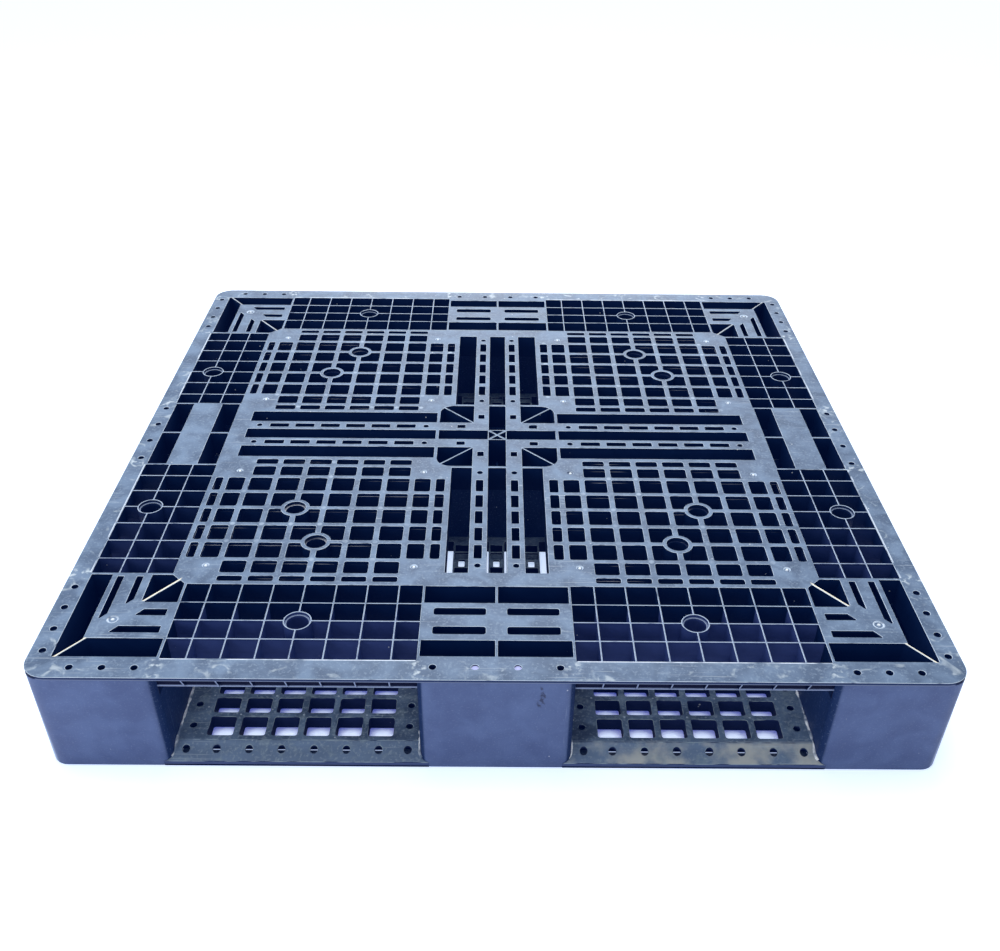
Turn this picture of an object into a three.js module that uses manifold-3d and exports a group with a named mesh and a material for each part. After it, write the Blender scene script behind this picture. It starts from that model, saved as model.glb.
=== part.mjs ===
// Four-way plastic pallet: a ribbed top deck, nine hollow legs and a grid bottom deck, welded together.
// Millimetres, +Z up. The origin is on the ground under the centre of the square deck; the front is -Y.

import * as THREE from 'three';
import { mergeGeometries, mergeVertices } from 'three/addons/utils/BufferGeometryUtils.js';
import Module from 'manifold-3d';

const wasm = await Module();
wasm.setup();

// ---------------------------------------------------------------- driving dimensions
const SIDE = 1100;                 // outer side of the square rim
const HEIGHT = 150;                // ground to load face
const RIM_RADIUS = 30;             // plan radius of the four rim corners
const GAP = 0.3;                   // clearance left between neighbouring mouldings
const PITCH = 40;                  // spacing of the grid in both decks
const FIRST_BAR = 124;             // distance from the centre lines to the first full grid bar

const DECK_DEPTH = 40;             // depth of the load-bearing ribs under the load face
const PANEL_DEPTH = 20;            // depth of the bars in the four grid panels
const LIP = 5;                     // thickness of the rim lip and of flat plates in the deck
const LIP_OVERHANG = 14;           // how far the lip reaches past the deck's side wall
const EDGE_DEPTH = 25;             // depth of the side wall seen above each fork opening
const RIM_WIDTH_X = 26;            // flat rim width along the left and right sides
const RIM_WIDTH_Y = 33;            // flat rim width along the front and rear

const PANEL_BAR = 7.2;             // width of the bars in the four grid panels
const BORDER_RIB = 2.5;            // width of the thin ribs between panels and rim
const WALL = 3.5;                  // wall thickness of the mouldings
const PANEL_INNER = 75;            // panels begin this far from the centre lines
const PANEL_OUTER_X = 411;         // and end here
const PANEL_OUTER_Y = 370;

const RAIL_INNER = 13.5;           // the two rails beside each centre line
const RAIL_OUTER = 37.4;
const CHANNEL_OUTER = 68;          // outer edge of the open channel beside each rail
const RAIL_END_X = 392;            // rails run out to these distances from the centre
const RAIL_END_Y = 350;

const LEG_REACH = 548;             // outer faces of the outer legs, 2 mm inside the rim
const LEG_HALF = 93;               // half width of the centre and middle legs
const CORNER_LEG_X = 396;          // inner faces of the corner legs
const CORNER_LEG_Y = 356;
const CORNER_LEG_CHAMFER = 18.5;
const MIDDLE_LEG_X = 417;          // inner face of the left and right middle legs
const MIDDLE_LEG_Y = 376;          // inner face of the front and rear centre legs
const LEG_EDGE_RADIUS = 14;        // rounded vertical edges beside the fork openings
const CENTRE_LEG_RADIUS = 25;
const LEG_FLOOR = 4;

const RING_OUTER = 20.25;          // radii of the round collars standing in the grid
const RING_HOLE = 15;
const BORDER_RING_OUTER = 17.5;
const BORDER_RING_X = 487.5;       // collars beside the rim stand on its middle rib
const BORDER_RING_Y = 447;
const RING_SIDES = 6;

const BASE_THICKNESS = 20;         // bottom deck
const BASE_LIP = 8;                // height of its blunt front edge
const RAMP_LENGTH = 25;            // length of the ramp behind that edge
const BASE_PLATE = 12;             // thickness of the bottom grid, above its hollow underside
const BASE_BAR = 8;
// Bars between the three rows of fine windows along each fork opening, whose rows narrow inwards.
const BASE_WINDOW_LINES = [413, 446.5, 480, 519.3];
const BASE_SLITS = [[12, 40], [66, 94]];   // long slits beside the centre lines

const REACH = SIDE / 2;
const DECK_BOTTOM = HEIGHT - DECK_DEPTH;
const LIP_UNDERSIDE = HEIGHT - LIP;
const FAR = 2 * SIDE;              // longer than anything here, for cutters
const OVERCUT = 1;                 // how far a cutter runs past the face it opens

// Grid bar positions, counted outwards from the centre lines.
const bar = (number) => FIRST_BAR + number * PITCH;
const bars = (count) => Array.from({ length: count }, (_, number) => bar(number));
const COLUMNS = [LEG_HALF, ...bars(7), CORNER_LEG_X];
const ROWS = [LEG_HALF, ...bars(6), CORNER_LEG_Y];

// Between panels and rim the thin ribs follow the grid; only the middle one of those beside the rim is kept.
const BORDER_ROWS = [MIDDLE_LEG_Y, BORDER_RING_Y, REACH - RIM_WIDTH_Y];
const BORDER_COLUMNS = [MIDDLE_LEG_X, BORDER_RING_X, REACH - RIM_WIDTH_X];

// Collars stand on crossings of the grid bars, in each quarter of the deck.
const PANEL_RINGS = [[bar(4), bar(2)], [bar(3), bar(4)]];
const BORDER_RINGS = [[bar(3), BORDER_RING_Y], [BORDER_RING_X, bar(2)]];

// ---------------------------------------------------------------- outlines: lists of [x, y] points
const box = (x0, y0, x1, y1) => [[x0, y0], [x1, y0], [x1, y1], [x0, y1]];

const mirror = (outline, signX, signY) => outline.map(([x, y]) => [signX * x, signY * y]);

const inEveryQuadrant = (outlines) =>
  [[1, 1], [-1, 1], [-1, -1], [1, -1]].flatMap(([signX, signY]) =>
    outlines.map((outline) => mirror(outline, signX, signY)));

const polygon = (x, y, radius, sides) =>
  Array.from({ length: sides }, (_, index) => {
    const angle = ((index + 0.5) / sides) * 2 * Math.PI;
    return [x + radius * Math.cos(angle), y + radius * Math.sin(angle)];
  });

// Rounds each corner of an outline; radii holds one radius per corner, 0 for a sharp one.
function rounded(outline, radii, steps = 3) {
  return outline.flatMap((corner, index) => {
    const radius = radii[index];
    if (radius === 0) return [corner];
    const here = new THREE.Vector2(...corner);
    const before = new THREE.Vector2(...outline.at(index - 1)).sub(here).normalize();
    const after = new THREE.Vector2(...outline[(index + 1) % outline.length]).sub(here).normalize();
    const halfAngle = Math.acos(before.dot(after)) / 2;
    const middle = before.clone().add(after).normalize();
    const centre = here.clone().addScaledVector(middle, radius / Math.sin(halfAngle));
    const start = here.clone().addScaledVector(before, radius / Math.tan(halfAngle)).sub(centre);
    const sweep = (Math.PI - 2 * halfAngle) * Math.sign(after.cross(before));
    return Array.from({ length: steps + 1 }, (_, step) => {
      const point = start.clone().rotateAround(new THREE.Vector2(), (sweep * step) / steps);
      return point.add(centre).toArray();
    });
  });
}

// Every space of a grid given by its lines, shrunk by half a bar, except those that skip() names.
function gridCells(columns, rows, width, skip = () => false) {
  const half = width / 2;
  const cells = [];
  for (let i = 0; i + 1 < columns.length; i += 1) {
    for (let j = 0; j + 1 < rows.length; j += 1) {
      if (skip(i, j)) continue;
      cells.push(box(columns[i] + half, rows[j] + half, columns[i + 1] - half, rows[j + 1] - half));
    }
  }
  return cells;
}

// ---------------------------------------------------------------- solids
function prismGeometry(outline, z0, z1) {
  const shape = new THREE.Shape(outline.map(([x, y]) => new THREE.Vector2(x, y)));
  return new THREE.ExtrudeGeometry(shape, { depth: z1 - z0, bevelEnabled: false }).translate(0, 0, z0);
}

function solidFrom(geometry) {
  geometry.deleteAttribute('normal');
  geometry.deleteAttribute('uv');
  const merged = mergeVertices(geometry, 1e-4);
  const mesh = new wasm.Mesh({
    numProp: 3,
    vertProperties: new Float32Array(merged.attributes.position.array),
    triVerts: new Uint32Array(merged.index.array),
  });
  return new wasm.Manifold(mesh);
}

const prism = (outline, z0, z1) => solidFrom(prismGeometry(outline, z0, z1));

// One solid of many prisms that don't touch each other.
const prisms = (outlines, z0, z1) =>
  solidFrom(mergeGeometries(outlines.map((outline) => prismGeometry(outline, z0, z1))));

const union = (solids) => solids.reduce((sum, solid) => sum.add(solid));

function toMesh(name, solid, material) {
  const { numProp, vertProperties, triVerts } = solid.getMesh();
  const positions = new Float32Array((vertProperties.length / numProp) * 3);
  for (let index = 0; index < positions.length; index += 1) {
    positions[index] = vertProperties[Math.floor(index / 3) * numProp + (index % 3)];
  }
  const geometry = new THREE.BufferGeometry();
  geometry.setAttribute('position', new THREE.BufferAttribute(positions, 3));
  geometry.setIndex(new THREE.BufferAttribute(new Uint32Array(triVerts), 1));
  const flat = geometry.toNonIndexed();
  flat.computeVertexNormals();
  const mesh = new THREE.Mesh(flat, material);
  mesh.name = name;
  return mesh;
}

// ---------------------------------------------------------------- top deck
// The four panels: a square grid whose corner spaces are left as solid pads.
function panelCells() {
  const lastColumn = COLUMNS.length - 2;
  const lastRow = ROWS.length - 2;
  const isPad = (i, j) => (i === 0 || i === lastColumn) && (j === 0 || j === lastRow);
  return gridCells(COLUMNS, ROWS, PANEL_BAR, isPad);
}

const borderCells = () => [
  ...gridCells(COLUMNS, BORDER_ROWS, BORDER_RIB),
  ...gridCells(BORDER_COLUMNS, ROWS, BORDER_RIB),
];

// The corner pockets surround an L-shaped plate; thin diagonal ribs tie the plate's corners down.
function cornerLegCells() {
  const insideX = REACH - RIM_WIDTH_X - 3;
  const insideY = REACH - RIM_WIDTH_Y - 3;
  const plate = { x0: 445, x1: 493, y0: 415, y1: 480 };
  const rib = 1.5;
  return [
    [[plate.x1 + rib, 359], [insideX, 359], [insideX, insideY - 5], [plate.x1 + rib, plate.y1 - rib]],
    [[399, plate.y1 + rib], [plate.x1 - 4, plate.y1 + rib], [insideX - 6, insideY], [399, insideY]],
    [[418, 359], [plate.x0 - rib, 359], [plate.x0 - rib, plate.y0 - 5], [411, 371]],
    [[399, 376], [405, 370.5], [plate.x0 - 5, plate.y0 - rib], [399, plate.y0 - rib]],
    [[454, 362], [462.5, 362], [462.5, 419], [454, 408]],
    [[479, 362], [487.5, 362], [487.5, 447], [479, 436]],
    [[407, 427], [436, 427], [445, 439], [407, 439]],
    [[407, 459], [459, 459], [468, 471], [407, 471]],
  ];
}

const frontLegCells = () => [
  box(2, 378, LEG_HALF - 2, 411),
  box(2, 483, LEG_HALF - 2, REACH - RIM_WIDTH_Y - 3),
  box(13, 420.5, 78, 433.5),
  box(13, 457, 78, 469.5),
];

const sideLegCells = () => [
  box(MIDDLE_LEG_X + 2, 2, 447, LEG_HALF - 2),
  box(494, 2, REACH - RIM_WIDTH_X - 3, LEG_HALF - 2),
];

// Open channels beside the rails, outside the centre leg.
const channelCells = () => [
  box(RAIL_OUTER, LEG_HALF + 3, CHANNEL_OUTER, RAIL_END_Y),
  box(LEG_HALF + 3, RAIL_OUTER, RAIL_END_X, CHANNEL_OUTER),
];

// The two channels on the centre lines are single openings, so they are not mirrored across them.
const centreChannelCells = () => [1, -1].flatMap((side) => [
  mirror(box(-RAIL_INNER, LEG_HALF + 3, RAIL_INNER, RAIL_END_Y), 1, side),
  mirror(box(LEG_HALF + 3, -RAIL_INNER, RAIL_END_X, RAIL_INNER), side, 1),
  mirror(box(-RAIL_INNER, RAIL_OUTER, RAIL_INNER, LEG_HALF - 3), 1, side),
  mirror(box(RAIL_OUTER, -RAIL_INNER, LEG_HALF - 3, RAIL_INNER), side, 1),
]);

// Over the centre leg each corner space is split by a diagonal rib.
function centreLegCells() {
  const near = RAIL_OUTER + 1;
  const far = LEG_HALF - 3;
  const rib = 3;
  const bevel = 8;
  return [
    [[near + rib, near], [far, near], [far, far - bevel - rib]],
    [[near, near + rib], [far - bevel - rib, far], [near, far]],
  ];
}

// Hollows under the flat plates and rails, so that each is a thin skin on side walls.
function deckRecesses() {
  const strips = [
    box(-FIRST_BAR, RAIL_END_Y + WALL, FIRST_BAR, MIDDLE_LEG_Y - WALL),
    box(RAIL_END_X + WALL, -FIRST_BAR, MIDDLE_LEG_X - WALL, FIRST_BAR),
  ];
  const rails = [
    box(RAIL_INNER + WALL, -RAIL_END_Y, RAIL_OUTER - WALL, RAIL_END_Y),
    box(-RAIL_END_X, RAIL_INNER + WALL, RAIL_END_X, RAIL_OUTER - WALL),
  ];
  const plates = [
    box(448.5, 359, 489.5, 476.5),
    box(399, 418.5, 489.5, 476.5),
    box(2, 416.5, LEG_HALF - 2, 477.5),
    box(452.5, 2, 489.5, LEG_HALF - 2),
  ];
  const under = (outline) => prism(outline, DECK_BOTTOM - OVERCUT, LIP_UNDERSIDE);
  const panels = inEveryQuadrant([box(PANEL_INNER, PANEL_INNER, PANEL_OUTER_X, PANEL_OUTER_Y)]);
  return union([
    prisms(panels, DECK_BOTTOM - OVERCUT, HEIGHT - PANEL_DEPTH),
    ...inEveryQuadrant(plates).map(under),
    ...strips.flatMap((strip) => [strip, mirror(strip, -1, -1)]).map(under),
    ...[rails[0], mirror(rails[0], -1, 1), rails[1], mirror(rails[1], 1, -1)].map(under),
  ]);
}

// A square tube, used to trim the deck's edge: everything between two squares.
const squareRing = (inner, outer, z0, z1) =>
  prism(box(-outer, -outer, outer, outer), z0, z1).subtract(prism(box(-inner, -inner, inner, inner), z0 - 1, z1 + 1));

function topDeck() {
  const sideWall = REACH - LIP_OVERHANG;
  const bottom = DECK_BOTTOM - OVERCUT;
  const cells = [
    ...inEveryQuadrant([...panelCells(), ...borderCells(), ...cornerLegCells(), ...frontLegCells(),
      ...sideLegCells(), ...channelCells(), ...centreLegCells()]),
    ...centreChannelCells(),
    box(-RAIL_INNER, -RAIL_INNER, RAIL_INNER, RAIL_INNER),
  ];
  const rings = (centres, radius) => inEveryQuadrant(centres.map(([x, y]) => polygon(x, y, radius, RING_SIDES)));
  const outline = rounded(box(-REACH, -REACH, REACH, REACH), Array(4).fill(RIM_RADIUS), 5);
  return prism(outline, DECK_BOTTOM, HEIGHT)
    .subtract(prisms(cells, bottom, HEIGHT + OVERCUT))
    .subtract(deckRecesses())
    .subtract(squareRing(sideWall, FAR, bottom, LIP_UNDERSIDE))
    .subtract(squareRing(sideWall - LIP_OVERHANG + WALL, sideWall - WALL, bottom, LIP_UNDERSIDE))
    .subtract(squareRing(REACH - RIM_WIDTH_Y, FAR, bottom, HEIGHT - EDGE_DEPTH))
    .add(prisms(rings(PANEL_RINGS, RING_OUTER), HEIGHT - PANEL_DEPTH, HEIGHT))
    .add(prisms(rings(BORDER_RINGS, BORDER_RING_OUTER), DECK_BOTTOM, HEIGHT))
    .subtract(prisms(rings([...PANEL_RINGS, ...BORDER_RINGS], RING_HOLE), bottom, HEIGHT + OVERCUT));
}

// ---------------------------------------------------------------- legs
// Each leg is described once, in the quadrant or half where its coordinates are positive.
const legOutlines = {
  corner: {
    points: [[CORNER_LEG_X + CORNER_LEG_CHAMFER, CORNER_LEG_Y], [LEG_REACH, CORNER_LEG_Y], [LEG_REACH, LEG_REACH],
      [CORNER_LEG_X, LEG_REACH], [CORNER_LEG_X, CORNER_LEG_Y + CORNER_LEG_CHAMFER]],
    radii: [4, LEG_EDGE_RADIUS, RIM_RADIUS - 2, LEG_EDGE_RADIUS, 4],
    ribs: [box(467.5, 0, 470.5, FAR), box(0, 446, FAR, 449)],
  },
  front: {
    points: box(-LEG_HALF, MIDDLE_LEG_Y, LEG_HALF, LEG_REACH),
    radii: [5, 5, LEG_EDGE_RADIUS, LEG_EDGE_RADIUS],
    ribs: [box(-1.5, 0, 1.5, FAR), box(-FAR, 445.5, FAR, 448.5)],
  },
  side: {
    points: box(MIDDLE_LEG_X, -LEG_HALF, LEG_REACH, LEG_HALF),
    radii: [5, LEG_EDGE_RADIUS, LEG_EDGE_RADIUS, 5],
    ribs: [box(0, -1.5, FAR, 1.5), box(469.5, -FAR, 472.5, FAR)],
  },
  centre: {
    points: box(-LEG_HALF, -LEG_HALF, LEG_HALF, LEG_HALF),
    radii: [CENTRE_LEG_RADIUS, CENTRE_LEG_RADIUS, CENTRE_LEG_RADIUS, CENTRE_LEG_RADIUS],
    ribs: [box(-FAR, -1.5, FAR, 1.5), box(-1.5, -FAR, 1.5, FAR)],
  },
};

// Moves every edge of a rounded outline by the same distance: its corners are moved along their bisectors.
function offset(points, distance) {
  return points.map((corner, index) => {
    const here = new THREE.Vector2(...corner);
    const before = new THREE.Vector2(...points.at(index - 1)).sub(here).normalize();
    const after = new THREE.Vector2(...points[(index + 1) % points.length]).sub(here).normalize();
    const halfAngle = Math.acos(before.dot(after)) / 2;
    const middle = before.add(after).normalize();
    return here.addScaledVector(middle, -distance / Math.sin(halfAngle)).toArray();
  });
}

function legOutline({ points, radii }, grow, signX, signY) {
  const grown = radii.map((radius) => Math.max(radius + grow, 0.5));
  return mirror(rounded(offset(points, grow), grown), signX, signY);
}

// An open-topped tub with cross ribs. Its outer walls rise to the lip; the rest stops below the deck ribs.
function leg(kind, signX, signY) {
  const outline = legOutline(kind, 0, signX, signY);
  const inside = legOutline(kind, -WALL, signX, signY);
  const top = LIP_UNDERSIDE - GAP;
  const ribTop = DECK_BOTTOM - GAP;
  const tub = prism(outline, 0, top).subtract(prism(inside, LEG_FLOOR, top + OVERCUT));
  const ribs = union(kind.ribs.map((rib) => prism(mirror(rib, signX, signY), LEG_FLOOR - 1, ribTop)))
    .intersect(prism(legOutline(kind, -WALL / 2, signX, signY), 0, top));
  const deck = REACH - LIP_OVERHANG + GAP;
  return tub.add(ribs).subtract(prism(box(-deck, -deck, deck, deck), ribTop, HEIGHT));
}

const LEGS = [
  ['leg_front_left', 'corner', -1, -1],
  ['leg_front_centre', 'front', 1, -1],
  ['leg_front_right', 'corner', 1, -1],
  ['leg_middle_left', 'side', -1, 1],
  ['leg_centre', 'centre', 1, 1],
  ['leg_middle_right', 'side', 1, 1],
  ['leg_rear_left', 'corner', -1, 1],
  ['leg_rear_centre', 'front', 1, 1],
  ['leg_rear_right', 'corner', 1, 1],
];

// ---------------------------------------------------------------- bottom deck
// Fine windows line the fork openings; the middle of each quarter has windows of double pitch.
function baseCells() {
  const coarseLines = [0, 2, 4, 6].map(bar);
  return [
    ...gridCells(bars(7), BASE_WINDOW_LINES, BASE_BAR),
    ...gridCells(BASE_WINDOW_LINES, bars(6), BASE_BAR),
    ...gridCells(coarseLines, coarseLines, BASE_BAR),
  ];
}

const slitCells = () => BASE_SLITS.flatMap(([near, far]) => [
  box(near, LEG_HALF + 12, far, MIDDLE_LEG_Y - 12),
  box(LEG_HALF + 12, near, MIDDLE_LEG_X - 12, far),
]);

// The wedge cut away above the sloping edge, along one side of the deck.
function rampWedge(quarterTurns) {
  const profile = [[LEG_REACH + 1, BASE_LIP - (BASE_THICKNESS - BASE_LIP) / RAMP_LENGTH],
    [LEG_REACH + 1, BASE_THICKNESS + 1], [LEG_REACH - RAMP_LENGTH, BASE_THICKNESS + 1],
    [LEG_REACH - RAMP_LENGTH, BASE_THICKNESS]];
  const wedge = prismGeometry(profile, -FAR / 2, FAR / 2);
  wedge.rotateX(Math.PI / 2).rotateZ((quarterTurns * Math.PI) / 2);
  return solidFrom(wedge);
}

// The legs stand through the bottom deck, whose square corners they fill.
function sockets() {
  const outlines = LEGS.map(([, kind, signX, signY]) => legOutline(legOutlines[kind], GAP, signX, signY));
  const corners = inEveryQuadrant([box(LEG_REACH - RIM_RADIUS, LEG_REACH - RIM_RADIUS, REACH, REACH)]);
  return union([...outlines, ...corners].map((outline) => prism(outline, -OVERCUT, BASE_THICKNESS + OVERCUT)));
}

function bottomDeck() {
  const hollows = union(inEveryQuadrant([box(108, 108, 380, 520), box(108, 108, 520, 340)])
    .map((outline) => prism(outline, -OVERCUT, BASE_THICKNESS - BASE_PLATE)));
  return prism(box(-LEG_REACH, -LEG_REACH, LEG_REACH, LEG_REACH), 0, BASE_THICKNESS)
    .subtract(prisms(inEveryQuadrant([...baseCells(), ...slitCells()]), -OVERCUT, BASE_THICKNESS + OVERCUT))
    .subtract(hollows)
    .subtract(union([0, 1, 2, 3].map(rampWedge)))
    .subtract(sockets());
}

// ---------------------------------------------------------------- assembly
const deckPlastic = new THREE.MeshStandardMaterial({ color: 0x3c4452, roughness: 0.7, metalness: 0 });
const legPlastic = new THREE.MeshStandardMaterial({ color: 0x30364a, roughness: 0.55, metalness: 0 });
const basePlastic = new THREE.MeshStandardMaterial({ color: 0x2c3238, roughness: 0.75, metalness: 0 });

const pallet = new THREE.Group();
pallet.name = 'plastic_pallet';
pallet.add(toMesh('top_deck', topDeck(), deckPlastic));
for (const [name, kind, signX, signY] of LEGS) {
  pallet.add(toMesh(name, leg(legOutlines[kind], signX, signY), legPlastic));
}
pallet.add(toMesh('bottom_deck', bottomDeck(), basePlastic));

export default pallet;
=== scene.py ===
"""Looks for the plastic pallet: fine mouldings, worn polyethylene, a pale studio and the camera."""
import math

import bmesh
import bpy
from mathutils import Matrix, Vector, noise
from mathutils.geometry import delaunay_2d_cdt


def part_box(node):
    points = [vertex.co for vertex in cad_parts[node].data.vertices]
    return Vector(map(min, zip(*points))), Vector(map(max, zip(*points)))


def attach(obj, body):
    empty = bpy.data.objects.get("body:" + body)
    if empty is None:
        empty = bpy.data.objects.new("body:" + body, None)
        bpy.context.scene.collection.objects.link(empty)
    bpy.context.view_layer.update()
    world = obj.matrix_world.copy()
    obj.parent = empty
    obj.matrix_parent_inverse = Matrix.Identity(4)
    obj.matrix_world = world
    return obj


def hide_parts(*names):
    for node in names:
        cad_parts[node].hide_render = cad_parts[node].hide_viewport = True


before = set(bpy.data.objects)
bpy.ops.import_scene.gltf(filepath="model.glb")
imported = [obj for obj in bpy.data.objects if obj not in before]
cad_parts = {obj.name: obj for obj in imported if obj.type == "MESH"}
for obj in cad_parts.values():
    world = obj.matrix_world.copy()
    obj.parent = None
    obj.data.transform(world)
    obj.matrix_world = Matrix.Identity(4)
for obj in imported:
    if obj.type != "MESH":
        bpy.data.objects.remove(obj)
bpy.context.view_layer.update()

MM = 0.001

# ---------------------------------------------------------------- sizes, in millimetres, from the frame
deck_low, deck_high = (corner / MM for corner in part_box("top_deck"))
corner_leg_low, corner_leg_high = (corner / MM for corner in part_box("leg_rear_right"))
front_leg_low, front_leg_high = (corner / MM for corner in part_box("leg_rear_centre"))

REACH = deck_high.x                 # half the side of the square rim
TOP = deck_high.z                   # load face
DECK_BOTTOM = deck_low.z
LEG_TOP = corner_leg_high.z         # underside of the rim lip, less a hair
LEG_REACH = corner_leg_high.x
LEG_HALF = front_leg_high.x         # half width of the middle legs
CORNER_X = corner_leg_low.x         # inner faces of the corner legs
CORNER_Y = corner_leg_low.y
MIDDLE_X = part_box("leg_middle_right")[0].x / MM     # inner faces of the side and end legs
MIDDLE_Y = front_leg_low.y
BASE_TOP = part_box("bottom_deck")[1].z / MM

# ---------------------------------------------------------------- layout of the mouldings
PITCH = 40
FIRST_BAR = 124
RIM_RADIUS = 30
SKIN = 3                            # thickness of the flat skins of both decks
LIP = 5                             # thickness of the rim lip
WEB = 1.6                           # thickness of the ribs under the skin
EDGE = 0.45                         # rounding of moulded edges
LAP = 0.5                           # how far joined mouldings reach into each other
HOLE_CORNER = 3
BAR_X = 7.6                         # width of the panel bars that run front to back
BAR_Y = 6.8                         # width of those that run across
PANEL_BOTTOM = TOP - 30
RIM_X = REACH - 26                  # inner edges of the rim
RIM_Y = REACH - 33
SIDE_WALL = REACH - 14              # outer face of the wall under the lip
RAIL_INNER, RAIL_OUTER, CHANNEL_OUTER = 13.5, 37.4, 68
RAIL_END_X, RAIL_END_Y = 392, 350
PANEL_INNER, PANEL_OUTER_X, PANEL_OUTER_Y = 76, 411, 370
RAIL_CENTRE = (RAIL_INNER + RAIL_OUTER) / 2
RIB_STEP = TOP - 22                 # ribs that reach the rim end here; the deepest go on to the underside
SKIRT_BOTTOM = TOP - 25             # lower edge of the wall over each fork opening
PANEL_LEDGE = TOP - 6.5             # top of the wide webs in the panels
LEG_WALL = 3.5
LEG_FLOOR = 4
HALF_RIB = 1.2                      # half the thickness of the ribs in the legs and under the plates
LEG_RADIUS = 14                     # a leg's outer corners beside a fork opening
LEG_CHAMFER = 18.5                  # a corner leg's inner corner
RIM_LIMIT = SIDE_WALL + 0.3         # the legs' tall outer walls stand outside this
QUARTERS = [(1, 1), (-1, 1), (-1, -1), (1, -1)]
HUB_RADIUS = 22                     # rounded corners of the centre leg, inside its wall


def bars(count):
    return [FIRST_BAR + PITCH * index for index in range(count)]


def stretches(lines):
    """Neighbouring pairs of a row of lines."""
    return list(zip(lines, lines[1:]))


COLUMNS = [LEG_HALF] + bars(7) + [CORNER_X]
ROWS = [LEG_HALF] + bars(6) + [CORNER_Y]
BORDER_ROWS = [MIDDLE_Y, 413, 447, 481, RIM_Y]
BORDER_COLUMNS = [MIDDLE_X, 452.5, 487.5, RIM_X]
PANEL_RINGS = [(284, 204), (244, 284)]
BORDER_RINGS = [(244, 447), (487.5, 204)]
PANEL_RING_RADIUS, BORDER_RING_RADIUS, RING_HOLE = 20.25, 17.5, 15
COLLAR_HOLE = 16.1                  # the thin collars in the border, and the step inside each
COLLAR_STEP, COLLAR_STEP_HOLE = TOP - 4, 13.9


# ---------------------------------------------------------------- outlines
# An outline is a function of "grow": it returns its corner points, moved outwards by that many millimetres.
def arc(x, y, radius, start, stop, steps):
    """Points on a circle, from one angle to another."""
    angles = [start + (stop - start) * step / steps for step in range(steps + 1)]
    return [(x + radius * math.cos(a), y + radius * math.sin(a)) for a in angles]


def circle(x, y, radius, points=24):
    return lambda grow=0: arc(x, y, radius + grow, 0, 2 * math.pi, points)[:-1]


def corner_at(corners, index):
    """A corner, the ways to its neighbours, half the angle between them, and 1 or -1 for the turn's side."""
    here = Vector(corners[index])
    before = (Vector(corners[index - 1]) - here).normalized()
    after = (Vector(corners[(index + 1) % len(corners)]) - here).normalized()
    half = math.acos(max(-1, min(1, before.dot(after)))) / 2
    return here, before, after, half, 1 if after.x * before.y - after.y * before.x > 0 else -1


def round_corners(corners, radii, steps):
    points = []
    for index, radius in enumerate(radii):
        if not radius:
            points.append(corners[index])
            continue
        here, before, after, half, turn = corner_at(corners, index)
        centre = here + (before + after).normalized() * (radius / math.sin(half))
        start = here + before * (radius / math.tan(half)) - centre
        for step in range(steps + 1):
            angle = turn * (math.pi - 2 * half) * step / steps
            cos, sin = math.cos(angle), math.sin(angle)
            points.append((centre.x + start.x * cos - start.y * sin,
                           centre.y + start.x * sin + start.y * cos))
    return points


def polygon(corners, radius=1.0, steps=2):
    """An outline with rounded corners, counter-clockwise; radius is one number or one per corner."""
    radii = radius if isinstance(radius, list) else [radius] * len(corners)

    def outline(grow=0):
        moved, grown = [], []
        for index in range(len(corners)):
            here, before, after, half, turn = corner_at(corners, index)
            moved.append(tuple(here - (before + after).normalized() * (turn * grow / math.sin(half))))
            grown.append(max(radii[index] + turn * grow, 0.2))
        return round_corners(moved, grown, steps)
    return outline


def box(x0, y0, x1, y1, radius=1.0, steps=2):
    return polygon([(x0, y0), (x1, y0), (x1, y1), (x0, y1)], radius, steps)


def bitten_box(x0, y0, x1, y1, centre, bite, radius, steps):
    """A box whose corner nearest a round collar is cut away along that collar."""
    def outline(grow=0):
        low_x, low_y, high_x, high_y = x0 - grow, y0 - grow, x1 + grow, y1 + grow
        corners = [(low_x, low_y), (high_x, low_y), (high_x, high_y), (low_x, high_y)]
        nearest = min(range(4), key=lambda i: (Vector(corners[i]) - Vector(centre)).length)
        radii = [max(radius + grow, 0.2)] * 4
        radii[nearest] = 0
        points = round_corners(corners, radii, steps)
        cut = points.index(corners[nearest])
        x, y = corners[nearest][0] - centre[0], corners[nearest][1] - centre[1]
        reach = bite - grow
        side_x = math.copysign(math.sqrt(reach ** 2 - y ** 2), (x0 + x1) / 2 - centre[0])
        side_y = math.copysign(math.sqrt(reach ** 2 - x ** 2), (y0 + y1) / 2 - centre[1])
        on_x_side, on_y_side = math.atan2(y, side_x), math.atan2(side_y, x)
        begin, end = (on_y_side, on_x_side) if nearest in (0, 2) else (on_x_side, on_y_side)
        turn = (end - begin + math.pi) % (2 * math.pi) - math.pi
        return points[:cut] + arc(*centre, reach, begin, begin + turn, 6) + points[cut + 1:]
    return outline


def mirrored(outline, sign_x, sign_y):
    return lambda grow=0: [(sign_x * x, sign_y * y) for x, y in outline(grow)]


def swapped(outline):
    """The outline with x and y exchanged."""
    return lambda grow=0: [(y, x) for x, y in outline(grow)]


def both_ways(rear, right):
    """Outlines at the rear, and others that are made as if at the rear but belong at the right."""
    return rear + [swapped(outline) for outline in right]


def on_all_ends(rear, right):
    """The same for outlines across the middle, which are repeated at the front and the left."""
    return both_ways(*(part + [mirrored(outline, 1, -1) for outline in part] for part in (rear, right)))


def in_every_quarter(outlines):
    return [mirrored(outline, *sign) for sign in QUARTERS for outline in outlines]


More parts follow.
